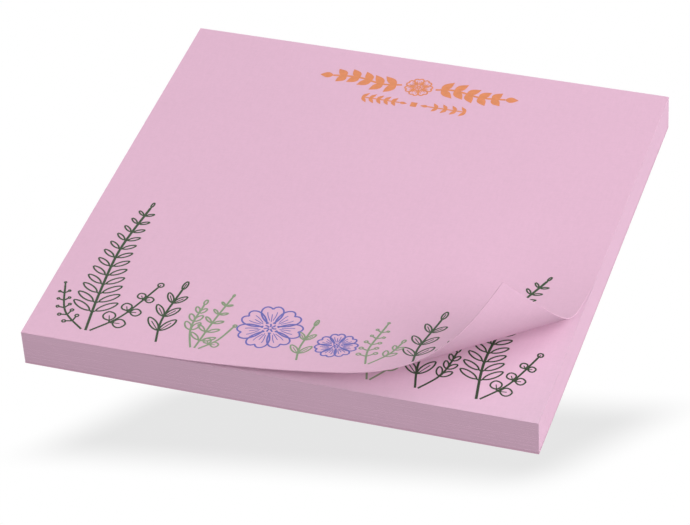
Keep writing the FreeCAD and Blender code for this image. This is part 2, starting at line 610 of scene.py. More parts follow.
@dataclass(frozen=True)
class PaperFinish:
    """Uncoated coloured paper with fine fibres and, where cut in a block, faint sheet lines.

    Attributes:
        name: The material's name.
        colour: Linear colour of the paper. With a side colour, this is the colour of the level faces,
            painted paler than the sides as painted light.
        place: Where the pattern is anchored.
        side_colour: Linear colour of upright faces that show the cut edges of many sheets, if any do. The
            level faces are painted paler than these, as painted light.
        sheet: Thickness of one sheet, for the lines of the cut edges.
        roughness: How much the paper scatters its gloss.
        gloss: How much gloss it has.
        clouds: How far its tone drifts.
        fibres: How far its fibres part in tone.
        relief: How strongly the fibres stand out.
        relief_height: How high they stand.
        painted_edge_highlight: How much paler a single note's cut edge is painted, as a painted highlight.
        lines: How far the cut sheets part in tone.
        drift: How far the tone drifts along the cut.
        streaks: How pale the knife's streaks are.
    """

    name: str
    colour: Colour
    place: Place
    side_colour: Optional[Colour] = None
    sheet: float = 0.11 * MM
    roughness: float = 0.8
    gloss: float = 0.25
    clouds: float = 0.03
    fibres: float = 0.06
    relief: float = 0.25
    relief_height: float = 0.03 * MM
    painted_edge_highlight: float = 0.06
    lines: float = 0.05
    drift: float = 0.05
    streaks: float = 0.22

    def material(self) -> bpy.types.Material:
        """Makes the paper's material.

        Returns:
            The material.
        """
        finish = bpy.data.materials.new(self.name)
        maker = ShaderTree.start(finish)
        spot = maker.place(self.place)
        clouds = maker.noise(spot, (70.0, 70.0, 70.0), detail=2.0)
        long_fibres = maker.noise(spot, (900.0, 3600.0, 1500.0), detail=2.0)
        cross_fibres = maker.noise(spot, (3300.0, 800.0, 1500.0), detail=2.0)
        fibres = maker.math("ADD", long_fibres, cross_fibres)
        shade = maker.math("MULTIPLY_ADD", clouds, self.clouds, 1.0 - 0.5 * self.clouds)
        shade = maker.math("ADD", shade, maker.math("MULTIPLY_ADD", fibres, self.fibres, -self.fibres))
        colour = self.colour
        # Level faces take the paler colour and upright cut sides take the side colour: painted light that
        # lifts the shade on the block's top.
        if self.side_colour:
            upright = maker.upright()
            shade = maker.blend(upright, shade, self.edge_shade(maker, spot))
            colour = maker.dyed(upright, self.colour, self.side_colour)
        # A single note's thin cut edges are painted paler: a painted highlight along its edge.
        if self.place is Place.FLAT_NOTE:
            cut = maker.add("ShaderNodeAttribute", attribute_name=CUT_EDGE).outputs["Fac"]
            shade = maker.math("MULTIPLY_ADD", cut, self.painted_edge_highlight, shade)
        shader = maker.matte(maker.tinted(colour, shade), self.roughness, self.gloss)
        relief = {"Strength": self.relief, "Distance": self.relief_height, "Height": fibres}
        maker.feed(shader.inputs["Normal"], maker.wired("ShaderNodeBump", relief).outputs[0])
        maker.end_with(shader.outputs[0])
        return finish

    def edge_shade(self, maker: ShaderTree, spot: bpy.types.NodeSocket) -> bpy.types.NodeSocket:
        """Shades the cut edges: each sheet a little apart, with broad drifts and slanting knife streaks.

        Args:
            maker: The material's tree.
            spot: The point being shaded.

        Returns:
            The socket that holds the shade, which lies about 0.98.
        """
        lines = maker.noise(spot, (25.0, 25.0, 1.0 / self.sheet), detail=1.0)
        drift = maker.noise(spot, (55.0, 55.0, 260.0), detail=1.0)
        x, y, z = maker.separate(spot)
        slant = maker.math("ADD", maker.math("ADD", x, y), maker.math("MULTIPLY", z, 1.1))
        streaks = maker.noise(maker.combine(slant), (260.0, 0.0, 0.0), detail=2.0)
        streaks = maker.math("SUBTRACT", streaks, 0.6, clamp=True)
        shade = maker.math("MULTIPLY_ADD", lines, self.lines, 0.98 - 0.5 * self.lines)
        shade = maker.math("ADD", shade, maker.math("MULTIPLY_ADD", drift, self.drift, -0.5 * self.drift))
        return maker.math("ADD", shade, maker.math("MULTIPLY", streaks, self.streaks))


@dataclass(frozen=True)
class InkFinish:
    """Printed ink, a little uneven where it sank into the paper.

    Attributes:
        name: The material's name.
        colour: Linear colour of the ink.
        roughness: How much the ink scatters its gloss.
        gloss: How much gloss it has.
        patches: How far its tone parts from patch to patch.
    """

    name: str
    colour: Colour
    roughness: float = 0.7
    gloss: float = 0.25
    patches: float = 0.3

    def material(self) -> bpy.types.Material:
        """Makes the ink's material.

        Returns:
            The material.
        """
        finish = bpy.data.materials.new(self.name)
        maker = ShaderTree.start(finish)
        patches = maker.noise(maker.place(Place.OBJECT), (1400.0, 1400.0, 1400.0), detail=3.0)
        shade = maker.math("MULTIPLY_ADD", patches, self.patches, 1.0 - 0.5 * self.patches)
        shader = maker.matte(maker.tinted(self.colour, shade), self.roughness, self.gloss)
        maker.end_with(shader.outputs[0])
        return finish


@dataclass
class TopNote:
    """The first note, held at the back and curled at its front right corner.

    Attributes:
        width: Left to right.
        depth: Front to back.
        low: Height of its underside.
        high: Height of its upper side.
        cell: Size of the mesh's squares.
    """

    width: float
    depth: float
    low: float
    high: float
    cell: float = 0.5 * MM

    def build(
        self, curl: CurlShape, curl_tree: bpy.types.NodeTree, paper: bpy.types.Material
    ) -> bpy.types.Object:
        """Makes the flat note as a fine grid and curls it.

        Args:
            curl: Sizes of the curl.
            curl_tree: The tree that curls the note.
            paper: The note's material.

        Returns:
            The curled note.
        """
        sheet = empty_mesh("flat_note")
        bm = bmesh.new()
        columns = round(self.width / self.cell)
        rows = round(self.depth / self.cell)
        grid = bmesh.ops.create_grid(bm, x_segments=columns, y_segments=rows, size=0.5)
        for vertex in grid["verts"]:
            vertex.co = Vector((vertex.co.x * self.width, vertex.co.y * self.depth, self.high))
        raised = bmesh.ops.extrude_face_region(bm, geom=list(bm.faces))
        for item in raised["geom"]:
            if isinstance(item, bmesh.types.BMVert):
                item.co.z = self.low
        bmesh.ops.recalc_face_normals(bm, faces=bm.faces)
        bm.normal_update()
        # Marks the thin edge faces, which the note's paper paints paler as a highlight.
        cut = bm.faces.layers.float.new(CUT_EDGE)
        for face in bm.faces:
            face[cut] = float(abs(face.normal.z) < 0.5)
        self.unfold(bm)
        bm.to_mesh(sheet.data)
        bm.free()
        values = curl.values(self.width, self.depth, self.low) | {"Finish": paper}
        note = run_tree(sheet, curl_tree, values, "curled_note")
        for polygon in note.data.polygons:
            polygon.use_smooth = True
        note.data.set_sharp_from_angle(angle=math.radians(30.0))
        return note

    def unfold(self, bm: bmesh.types.BMesh) -> None:
        """Maps the flat note: upper side on the left, underside on the right, the thin edges below.

        Args:
            bm: The flat note's mesh.
        """
        chart = bm.loops.layers.uv.new(SHEET_MAP)
        margin, side, edge = 0.01, 0.48, 0.01
        bm.normal_update()
        for face in bm.faces:
            for loop in face.loops:
                across = side * (loop.vert.co.x / self.width + 0.5)
                back = side * (loop.vert.co.y / self.depth + 0.5)
                upper = edge * (loop.vert.co.z - self.low) / (self.high - self.low)
                if abs(face.normal.z) > 0.5:
                    shift = margin if face.normal.z > 0 else 0.5 + margin
                    loop[chart].uv = (shift + across, 0.3 + back)
                elif abs(face.normal.y) > 0.5:
                    strip = 0.02 if face.normal.y < 0 else 0.05
                    loop[chart].uv = (margin + across, strip + upper)
                else:
                    strip = 0.08 if face.normal.x < 0 else 0.11
                    loop[chart].uv = (margin + back, strip + upper)


@dataclass
class SheetStack:
    """The block of notes under the first one, as one shell whose sides keep every sheet's edge.

    Attributes:
        width: Left to right.
        depth: Front to back.
        low: Height of its underside.
        high: Height of its upper side.
        sheets: How many notes it holds.
        slip: How far an edge may stand back from the block's side.
        seed: Start of the random slips.
    """

    width: float
    depth: float
    low: float
    high: float
    sheets: int
    slip: float = 0.015 * MM
    seed: int = 11

    @staticmethod
    def tree() -> bpy.types.NodeTree:
        """Makes the tree that raises the block sheet by sheet.

        Returns:
            The tree.
        """
        sizes = ("Width", "Depth", "Low", "Thickness", "Slip")
        maker = GeometryTree.create("note_block", sizes, ("Sheets", "Seed"))
        plan = {
            "Size X": maker.given("Width"),
            "Size Y": maker.given("Depth"),
            "Vertices X": 2,
            "Vertices Y": 2,
        }
        base = maker.wired("GeometryNodeMeshGrid", plan)
        placed = maker.moved(base.outputs["Mesh"], Offset=maker.combine(z=maker.given("Low")))
        marked = maker.store("BOOLEAN", "FACE", "is_top", placed, True)
        start, end = maker.repeat(maker.given("Sheets"), marked)

        def lift(mesh: bpy.types.NodeSocket, height: Value) -> bpy.types.NodeSocket:
            """Extrudes the top face and marks the new top.

            Args:
                mesh: The block so far.
                height: How far its top rises.

            Returns:
                The higher block.
            """
            inputs = {
                "Mesh": mesh,
                "Selection": maker.named("BOOLEAN", "is_top"),
                "Offset": maker.combine(z=1.0),
                "Offset Scale": height,
                "Individual": False,
            }
            raised = maker.wired("GeometryNodeExtrudeMesh", inputs)
            return maker.store("BOOLEAN", "FACE", "is_top", raised.outputs["Mesh"], raised.outputs["Top"])

        def slipped(
            side: bpy.types.NodeSocket, half: bpy.types.NodeSocket, salt: int
        ) -> bpy.types.NodeSocket:
            """Puts a corner's coordinate a random way inside the block's side.

            Args:
                side: The coordinate, of which the sign counts.
                half: Half of the block's size in this direction.
                salt: Tells this direction's draws from the other's.

            Returns:
                The new coordinate.
            """
            picked = []
            for number in (salt, salt + 1):
                seed = maker.math("ADD", maker.given("Seed"), float(number))
                picked.append(maker.drawn_number(0.0, maker.given("Slip"), seed, start.outputs["Iteration"]))
            positive = maker.math("GREATER_THAN", side, 0.0)
            spread = maker.math("SUBTRACT", picked[1], picked[0])
            inset = maker.math("MULTIPLY_ADD", positive, spread, picked[0])
            return maker.math("MULTIPLY", maker.math("SIGN", side), maker.math("SUBTRACT", half, inset))

        stepped = lift(start.outputs["Geometry"], 0.0)
        x, y, z = maker.separate(maker.position())
        half_width = maker.math("MULTIPLY", maker.given("Width"), 0.5)
        half_depth = maker.math("MULTIPLY", maker.given("Depth"), 0.5)
        corner = maker.combine(slipped(x, half_width, 0), slipped(y, half_depth, 2), z)
        shifted = maker.moved(stepped, Selection=maker.named("BOOLEAN", "is_top"), Position=corner)
        maker.feed(end.inputs["Geometry"], lift(shifted, maker.given("Thickness")))

        under = maker.wired("GeometryNodeFlipFaces", {"Mesh": placed})
        lowest = maker.math("LESS_THAN", z, maker.math("ADD", maker.given("Low"), TINY))
        inputs = {
            "Geometry": maker.joined(end.outputs["Geometry"], under.outputs[0]),
            "Selection": lowest,
            "Distance": 0.0,
        }
        maker.finish_with(maker.wired("GeometryNodeMergeByDistance", inputs).outputs[0])
        return maker.tree

    def build(self, paper: bpy.types.Material) -> bpy.types.Object:
        """Makes the block and maps its faces.

        Args:
            paper: The block's material.

        Returns:
            The block.
        """
        values = {
            "Width": self.width,
            "Depth": self.depth,
            "Low": self.low,
            "Thickness": (self.high - self.low) / self.sheets,
            "Slip": self.slip,
            "Sheets": self.sheets,
            "Seed": self.seed,
            "Finish": paper,
        }
        block = run_tree(empty_mesh("no_block"), self.tree(), values, "note_block")
        self.unfold(block.data)
        return block

    def unfold(self, mesh: bpy.types.Mesh) -> None:
        """Maps the block: top at the upper left, underside beside it, the four sides as strips below.

        Args:
            mesh: The block's mesh.
        """
        chart = mesh.uv_layers.new(name=SHEET_MAP)
        height = self.high - self.low
        for polygon in mesh.polygons:
            middle = polygon.center
            ends = abs(polygon.normal.z) > 0.5 and polygon.area > 0.5 * self.width * self.depth
            across, back = middle.x / self.width, middle.y / self.depth
            front_or_back = abs(back) > abs(across)
            if front_or_back:
                strip = 0.02 if back < 0 else 0.09
            else:
                strip = 0.16 if across < 0 else 0.23
            shift, size = (0.01, 0.64) if polygon.normal.z > 0 else (0.68, 0.3)
            for index in polygon.loop_indices:
                spot = mesh.vertices[mesh.loops[index].vertex_index].co
                across = spot.x / self.width + 0.5
                back = spot.y / self.depth + 0.5
                if ends:
                    chart.data[index].uv = (shift + size * across, 0.33 + size * back)
                    continue
                along = across if front_or_back else back
                outward = max(abs(spot.x) / self.width, abs(spot.y) / self.depth)
                level = (spot.z - self.low) / height + (0.5 - outward) * 2.0
                chart.data[index].uv = (0.01 + 0.9 * along, strip + 0.055 * level)


@dataclass
class BackingSheet:
    """The stiff sheet under the last note, which the solid shows by itself.

    Attributes:
        node: Name of the solid.
    """

    node: str = "backing_sheet"

    def dress(self, paper: bpy.types.Material) -> bpy.types.Object:
        """Gives the solid its paper.

        Args:
            paper: The sheet's material.

        Returns:
            The solid.
        """
        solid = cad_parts[self.node]
        solid.data.materials.clear()
        solid.data.materials.append(paper)
        return solid


class Ink(Enum):
    """Inks of the print, as display colours."""

    GREEN = (58, 75, 54)
    SAGE = (137, 153, 124)
    VIOLET = (110, 108, 180)
    ORANGE = (222, 140, 96)


@dataclass(frozen=True)
class Leaf:
    """What grows on a drawn stem. Lengths are in millimetres.

    Attributes:
        length: Length of a leaf with its stalk.
        width: Width of a leaf.
        angle: Degrees between a leaf and the stem.
        spacing: Distance from one pair of leaves to the next.
        first: Share of the stem below the first pair.
        tip: Size of the last leaf, as a share of the first one's.
        stalk: Share of a leaf's length that is its stalk.
        vein: Share of a leaf that its middle vein crosses.
        solid: Whether the leaves are filled instead of drawn in outline.
    """

    length: float
    width: float
    angle: float
    spacing: float
    first: float
    tip: float
    stalk: float = 0.0
    vein: float = 0.0
    solid: bool = False

    def values(self) -> dict[str, object]:
        """Gives a plant tree's inputs for this leaf.

        Returns:
            Values by the inputs' names.
        """
        return {
            "Leaf Length": max(self.length, 0.1) * MM,
            "Leaf Width": self.width * MM,
            "Leaf Angle": math.radians(self.angle),
            "Leaf Spacing": self.spacing * MM,
            "First Leaf": self.first,
            "Tip Share": self.tip,
            "Stalk Share": self.stalk,
            "Vein Share": self.vein,
        }


class Motif(Enum):
    """Kinds of drawn stems, by what grows on them."""

    FERN = Leaf(4.8, 1.3, 54.0, 1.9, first=0.14, tip=0.34, stalk=0.14)
    ROUND_LEAF = Leaf(3.0, 2.3, 52.0, 2.5, first=0.24, tip=0.5, stalk=0.2, vein=0.55)
    EAR = Leaf(2.4, 0.95, 30.0, 1.5, first=0.4, tip=0.6, stalk=0.1)
    LANCE = Leaf(5.2, 1.7, 36.0, 3.0, first=0.2, tip=0.6, stalk=0.06, vein=0.7)
    BUD = Leaf(2.2, 0.8, 58.0, 1.5, first=0.22, tip=0.6, stalk=0.62)
    VINE = Leaf(2.7, 1.35, 48.0, 1.9, first=0.08, tip=0.75, solid=True)
    BEAD = Leaf(1.5, 0.62, 52.0, 1.2, first=0.0, tip=0.8, solid=True)
    LINE = Leaf(0.0, 0.0, 0.0, 5.0, first=0.5, tip=1.0, solid=True)


@dataclass(frozen=True)
class Stem:
    """One drawn stem.

    Attributes:
        ink: Its colour.
        motif: What grows on it.
        points: Places that it passes, in millimetres from the pad's middle.
        size: Size of its leaves, as a share of the motif's.
        weight: Weight of its own line, as a share of the pen's.
    """

    ink: Ink
    motif: Motif
    points: tuple[tuple[float, float], ...]
    size: float = 1.0
    weight: float = 1.0


@dataclass(frozen=True)
class Blossom:
    """One drawn flower, seen from above.

    Attributes:
        ink: Its colour.
        centre: Its middle, in millimetres from the pad's middle.
        radius: Length of its petals in millimetres.
        petals: How many petals it has.
    """

    ink: Ink
    centre: tuple[float, float]
    radius: float
    petals: int = 7

    def values(self) -> dict[str, object]:
        """Gives the blossom tree's inputs for this flower.

        Returns:
            Values by the inputs' names.
        """
        return {
            "Centre X": self.centre[0] * MM,
            "Centre Y": self.centre[1] * MM,
            "Radius": self.radius * MM,
            "Petals": self.petals,
        }


STEMS = (
    Stem(Ink.GREEN, Motif.BUD, ((-29.9, -35.2), (-33.6, -32.0), (-35.6, -26.8)), 0.7),
    Stem(Ink.GREEN, Motif.FERN, ((-29.2, -35.3), (-30.2, -27.0), (-30.8, -17.0), (-29.8, -7.0)), 0.84, 1.3),
    Stem(Ink.GREEN, Motif.ROUND_LEAF, ((-28.6, -35.2), (-25.2, -31.0), (-22.4, -24.0)), 0.8),
    Stem(Ink.GREEN, Motif.LANCE, ((-18.6, -35.2), (-19.4, -30.4), (-18.8, -23.6)), 0.66, 1.1),
    Stem(Ink.SAGE, Motif.EAR, ((-13.4, -35.2), (-14.8, -31.0), (-14.6, -26.0)), 0.9),
    Stem(Ink.SAGE, Motif.FERN, ((-12.8, -35.2), (-12.2, -29.4), (-11.2, -23.4)), 0.5),
    Stem(Ink.SAGE, Motif.ROUND_LEAF, ((-12.2, -35.2), (-10.2, -32.8), (-9.0, -29.6)), 0.5),
    Stem(Ink.SAGE, Motif.LANCE, ((2.4, -35.2), (1.8, -31.6), (2.2, -26.6)), 0.5),
    Stem(Ink.SAGE, Motif.BUD, ((12.6, -35.2), (11.6, -30.6), (12.2, -24.4)), 0.8),
    Stem(Ink.SAGE, Motif.EAR, ((13.0, -35.2), (15.0, -32.0), (15.8, -28.6)), 0.8),
    Stem(Ink.GREEN, Motif.LANCE, ((19.6, -35.2), (18.6, -29.6), (19.4, -21.4)), 0.72, 1.1),
    Stem(Ink.GREEN, Motif.EAR, ((20.0, -35.2), (22.4, -31.6), (23.2, -26.8)), 0.9),
    Stem(Ink.GREEN, Motif.FERN, ((28.4, -35.3), (27.4, -27.0), (28.4, -17.6), (31.4, -9.0)), 0.78, 1.3),
    Stem(Ink.GREEN, Motif.ROUND_LEAF, ((28.9, -35.2), (32.0, -31.2), (34.4, -25.0)), 0.72),
    Stem(Ink.ORANGE, Motif.VINE, ((2.9, 31.2), (6.0, 31.7), (10.0, 30.9), (14.0, 31.3)), 1.0, 1.3),
    Stem(Ink.ORANGE, Motif.VINE, ((-2.5, 31.2), (-5.6, 30.7), (-9.6, 31.5), (-13.6, 31.1)), 1.0, 1.3),
    Stem(Ink.ORANGE, Motif.BEAD, ((-7.6, 26.8), (-1.6, 26.8)), 1.0, 0.85),
    Stem(Ink.ORANGE, Motif.BEAD, ((9.0, 26.8), (3.0, 26.8)), 1.0, 0.85),
    Stem(Ink.ORANGE, Motif.LINE, ((0.2, 26.8), (1.2, 26.8)), 1.0, 3.6),
)

BLOSSOMS = (
    Blossom(Ink.VIOLET, (-3.8, -28.4), 4.6),
    Blossom(Ink.VIOLET, (6.8, -30.6), 3.0),
    Blossom(Ink.ORANGE, (0.2, 31.2), 2.1),
)

# Inks of the plants at the front right corner, where the curl bares the second note.
BARED_INKS = (Ink.GREEN, Ink.SAGE)


@dataclass
class PenTree(GeometryTree):
    """A tree that draws with a pen: thin lines of ink on the paper."""

    @classmethod
    def begin(cls, name: str, sizes: Sequence[str], counts: Sequence[str] = ()) -> "PenTree":
        """Starts a drawing tree, which takes the pen's sizes besides its own.

        Args:
            name: The tree's name.
            sizes: Names of its own number inputs.
            counts: Names of its own whole-number inputs.

        Returns:
            The tree.
        """
        pen = (
            "Pen Width", "Ink Low", "Ink Base", "Ink High",
            "Right Edge", "Front Edge", "Hidden Along", "Hidden Up",
        )
        return cls.create(name, tuple(sizes) + pen, tuple(counts) + ("Seed",))

    def press(self, curves: bpy.types.NodeSocket, weight: Value) -> bpy.types.NodeSocket:
        """Sets the line's weight as a share of the pen's."""
        return self.store("FLOAT", "POINT", "press", curves, weight)

    def bezier(self, *points: tuple[Value, Value]) -> bpy.types.NodeSocket:
        """Adds a flat curve.

        Args:
            *points: Its start, two handles and end.

        Returns:
            The socket that holds the curve.
        """
        names = ("Start", "Start Handle", "End Handle", "End")
        inputs = {name: self.combine(x, y) for name, (x, y) in zip(names, points)}
        kind = "GeometryNodeCurvePrimitiveBezierSegment"
        return self.wired(kind, {"Resolution": 12, **inputs}, mode="POSITION").outputs[0]

    def without(
        self, geometry: bpy.types.NodeSocket, domain: str, chosen: bpy.types.NodeSocket
    ) -> bpy.types.NodeSocket:
        """Deletes the chosen points or curves of the geometry."""
        inputs = {"Geometry": geometry, "Selection": chosen}
        return self.wired("GeometryNodeDeleteGeometry", inputs, domain=domain).outputs[0]

    def uncovered(self, curves: bpy.types.NodeSocket) -> bpy.types.NodeSocket:
        """Leaves out the lines that the first note covers, and crumbs of a line beside them.

        Args:
            curves: The drawn lines.

        Returns:
            The lines that show, each at a random height of its own.
        """
        real = self.wired("GeometryNodeRealizeInstances", {"Geometry": curves})
        even = self.resampled(real.outputs[0], 0.25 * MM)
        x, y, _ = self.separate(self.position())
        from_right = self.math("SUBTRACT", self.given("Right Edge"), x)
        from_front = self.math("ADD", self.given("Front Edge"), y)
        along = self.math("DIVIDE", from_right, self.given("Hidden Along"))
        up = self.math("DIVIDE", from_front, self.given("Hidden Up"))
        shown = self.without(even, "POINT", self.math("GREATER_THAN", self.math("ADD", along, up), 1.0))
        height = self.drawn_number(self.given("Ink Base"), self.given("Ink High"), self.given("Seed"))
        layered = self.store("FLOAT", "CURVE", "top_height", shown, height)
        level = self.wired("GeometryNodeSetCurveNormal", {"Curve": layered}, mode="Z_UP")
        measured = self.add("GeometryNodeSplineLength").outputs["Length"]
        return self.without(level.outputs[0], "CURVE", self.math("LESS_THAN", measured, 0.1 * MM))

    def lay_ink(self, curves: bpy.types.NodeSocket) -> None:
        """Ends the tree: turns the lines that show into flat bars of ink.

        Args:
            curves: The drawn lines.
        """
        pen_width = self.given("Pen Width")
        nib_size = {"Width": pen_width, "Height": pen_width}
        nib = self.wired("GeometryNodeCurvePrimitiveQuadrilateral", nib_size, mode="RECTANGLE")
        inputs = {
            "Curve": self.uncovered(curves),
            "Profile Curve": nib.outputs[0],
            "Scale": self.named("FLOAT", "press"),
            "Fill Caps": True,
        }
        bars = self.wired("GeometryNodeCurveToMesh", inputs)
        x, y, z = self.separate(self.position())
        rise = self.math("SUBTRACT", self.named("FLOAT", "top_height"), self.given("Ink Low"))
        height = self.math("MULTIPLY_ADD", self.math("GREATER_THAN", z, 0.0), rise, self.given("Ink Low"))
        flat = self.moved(bars.outputs[0], Position=self.combine(x, y, height))
        crisp = self.wired("GeometryNodeSetShadeSmooth", {"Geometry": flat, "Shade Smooth": False})
        self.finish_with(crisp.outputs[0])


@dataclass
class Print:
    """A generic print of plants along the front edge, a flower and a leafy ornament at the back.

    Attributes:
        width: The pad's width.
        depth: The pad's depth.
        pen: Weight of the pen's line.
        sunk: How far the ink goes into the paper.
        proud: How far the ink stands above the paper.
        seed: Start of the lines' random heights, which keep crossing lines apart.
    """

    width: float
    depth: float
    pen: float = 0.3 * MM
    sunk: float = 0.02 * MM
    proud: float = 0.02 * MM
    seed: int = 5

    @cached_property
    def outlined_plants(self) -> bpy.types.NodeTree:
        """The tree for stems with leaves in outline."""
        return self.plant_tree(solid=False)

    @cached_property
    def solid_plants(self) -> bpy.types.NodeTree:
        """The tree for stems with filled leaves."""
        return self.plant_tree(solid=True)

    @cached_property
    def blossoms(self) -> bpy.types.NodeTree:
        """The tree for flowers."""
        return self.blossom_tree()

    @staticmethod
    def solid_leaf(pen: PenTree) -> bpy.types.NodeSocket:
        """Draws a filled leaf as one line that swells and thins.

        Args:
            pen: The plant tree.

        Returns:
            The socket that holds the leaf, which points along Y.
        """
        base = (0.0, 0.0)
        tip = (0.0, pen.given("Leaf Length"))
        spine = pen.resampled(pen.bezier(base, base, tip, tip), 0.15 * MM)
        along = pen.add("GeometryNodeSplineParameter").outputs["Factor"]
        swell = pen.math("SINE", pen.math("MULTIPLY", pen.math("POWER", along, 0.8), math.pi))
        full = pen.math("DIVIDE", pen.given("Leaf Width"), pen.given("Pen Width"))
        return pen.press(spine, pen.math("MAXIMUM", pen.math("MULTIPLY", swell, full), 0.2))

    @staticmethod
    def outlined_leaf(pen: PenTree) -> bpy.types.NodeSocket:
        """Draws a leaf in outline, with its stalk and a fainter middle vein.

        Args:
            pen: The plant tree.

        Returns:
            The socket that holds the leaf, which points along Y.
        """
        length = pen.given("Leaf Length")
        stalk = pen.math("MULTIPLY", length, pen.given("Stalk Share"))
        blade = pen.math("SUBTRACT", length, stalk)
        low = pen.math("MULTIPLY_ADD", blade, 0.2, stalk)
        high = pen.math("MULTIPLY_ADD", blade, 0.8, stalk)
        side = pen.math("MULTIPLY", pen.given("Leaf Width"), 0.66)
        other = pen.math("MULTIPLY", side, -1.0)
        foot, base, tip = (0.0, 0.0), (0.0, stalk), (0.0, length)
        vein_tip = (0.0, pen.math("MULTIPLY_ADD", blade, pen.given("Vein Share"), stalk))
        outline = pen.joined(
            pen.bezier(base, (side, low), (side, high), tip),
            pen.bezier(base, (other, low), (other, high), tip),
            pen.bezier(foot, foot, base, base),
        )
        vein = pen.bezier(base, base, vein_tip, vein_tip)
        return pen.joined(pen.press(outline, 0.85), pen.press(vein, 0.5))

    @classmethod
    def plant_tree(cls, solid: bool) -> bpy.types.NodeTree:
        """Makes the tree that sets leaves along drawn stems.

        Args:
            solid: Whether the leaves are filled instead of drawn in outline.

        Returns:
            The tree.
        """
        sizes = (
            "Leaf Length", "Leaf Width", "Leaf Angle", "Leaf Spacing", "First Leaf",
            "Tip Share", "Stalk Share", "Vein Share",
        )
        pen = PenTree.begin("solid_leaves" if solid else "outlined_leaves", sizes)
        leaf = cls.solid_leaf(pen) if solid else cls.outlined_leaf(pen)
        threads = pen.wired("GeometryNodeMeshToCurve", {"Mesh": pen.given("Geometry")})
        supple = {"Curve": threads.outputs[0]}
        smooth = pen.wired("GeometryNodeCurveSplineType", supple, spline_type="CATMULL_ROM")
        stems = pen.resampled(smooth.outputs[0], 0.3 * MM)

        leafy = pen.wired("GeometryNodeTrimCurve", {"Curve": stems}, mode="FACTOR")
        pen.feed(leafy.inputs[2], pen.given("First Leaf"))
        joints = pen.resampled(leafy.outputs[0], pen.given("Leaf Spacing"))
        share = pen.add("GeometryNodeSplineParameter").outputs["Factor"]
        shrink = pen.ranged("LINEAR", share, 0.0, 1.0, 1.0, pen.given("Tip Share"))
        size = pen.math("MULTIPLY", shrink, pen.named("FLOAT", "leaf_size"))
        tangent = {"Vector": pen.add("GeometryNodeInputTangent").outputs[0]}
        ahead = pen.wired("FunctionNodeAlignRotationToVector", tangent, axis="Y", pivot_axis="Z")
        last = pen.math("GREATER_THAN", share, 0.999)
        early = pen.math("SUBTRACT", 1.0, last)
        parts = [pen.press(stems, pen.named("FLOAT", "weight"))]
        for turn, chosen in ((-1.0, early), (1.0, early), (0.0, last)):
            angle = pen.math("MULTIPLY", pen.given("Leaf Angle"), turn)
            swing = pen.wired("FunctionNodeAxisAngleToRotation", {"Axis": (0.0, 0.0, 1.0), "Angle": angle})
            faced = pen.add("FunctionNodeRotateRotation", rotation_space="LOCAL")
            growth = {
                "Points": joints,
                "Selection": chosen,
                "Instance": leaf,
                "Rotation": pen.in_order(faced, (ahead.outputs[0], swing.outputs[0])).outputs[0],
                "Scale": pen.combine(size, size, size),
            }
            parts.append(pen.wired("GeometryNodeInstanceOnPoints", growth).outputs[0])
        pen.lay_ink(pen.joined(*parts))
        return pen.tree

    @staticmethod
    def blossom_tree() -> bpy.types.NodeTree:
        """Makes the tree that draws one flower with notched petals about its stamens.

        Returns:
            The tree.
        """
        pen = PenTree.begin("drawn_blossom", ("Centre X", "Centre Y", "Radius"), ("Petals",))
        radius = pen.given("Radius")

        def line(side: float, *shares: tuple[float, float]) -> bpy.types.NodeSocket:
            """Adds a curve of a petal.

            Args:
                side: 1 for a curve on the petal's right, or -1 for one on its left.
                *shares: How far its points lie across and outwards, as shares of the radius.

            Returns:
                The socket that holds the curve.
            """
            points = []
            for across, out in shares:
                points.append([pen.math("MULTIPLY", radius, share) for share in (across * side, out)])
            return pen.bezier(*points)

        outline = []
        veins = []
        for side in (1.0, -1.0):
            outline.append(line(side, (0.07, 0.22), (0.3, 0.4), (0.48, 0.86), (0.22, 1.0)))
            outline.append(line(side, (0.22, 1.0), (0.14, 1.03), (0.06, 1.0), (0.0, 0.9)))
            veins.append(line(side, (0.05, 0.36), (0.1, 0.5), (0.15, 0.62), (0.15, 0.76)))
        veins.append(line(1.0, (0.0, 0.3), (0.0, 0.4), (0.0, 0.5), (0.0, 0.66)))
        stamen = line(1.0, (0.0, 0.05), (0.02, 0.1), (0.02, 0.15), (0.0, 0.2))
        petal = pen.joined(
            pen.press(pen.joined(*outline), 0.85),
            pen.press(pen.joined(*veins), 0.4),
            pen.press(stamen, 0.8),
        )
        middle = {"Resolution": pen.given("Petals"), "Radius": 0.001 * MM}
        ring = pen.wired("GeometryNodeCurvePrimitiveCircle", middle, mode="RADIUS")
        outwards = {"Vector": pen.position()}
        faced = pen.wired("FunctionNodeAlignRotationToVector", outwards, axis="Y", pivot_axis="Z")
        growth = {"Points": ring.outputs[0], "Instance": petal, "Rotation": faced.outputs[0]}
        whorl = pen.wired("GeometryNodeInstanceOnPoints", growth)
        centre = pen.combine(pen.given("Centre X"), pen.given("Centre Y"))
        moved = pen.wired("GeometryNodeTransform", {"Geometry": whorl.outputs[0], "Translation": centre})
        pen.lay_ink(moved.outputs[0])
        return pen.tree

    def pen_values(
        self, paper: float, hidden: tuple[float, float], finish: bpy.types.Material
    ) -> dict[str, object]:
        """Gives the pen's inputs for one sheet and ink.

        Args:
            paper: Height of the sheet's upper side.
            hidden: Reaches of the ruling up to which the sheet is covered.
            finish: The ink's material.

        Returns:
            Values by the inputs' names.
        """
        return {
            "Pen Width": self.pen,
            "Ink Low": paper - self.sunk,
            "Ink Base": paper + 0.6 * self.proud,
            "Ink High": paper + self.proud,
            "Right Edge": 0.5 * self.width,
            "Front Edge": 0.5 * self.depth,
            "Hidden Along": hidden[0],
            "Hidden Up": hidden[1],
            "Seed": self.seed,
            "Finish": finish,
        }

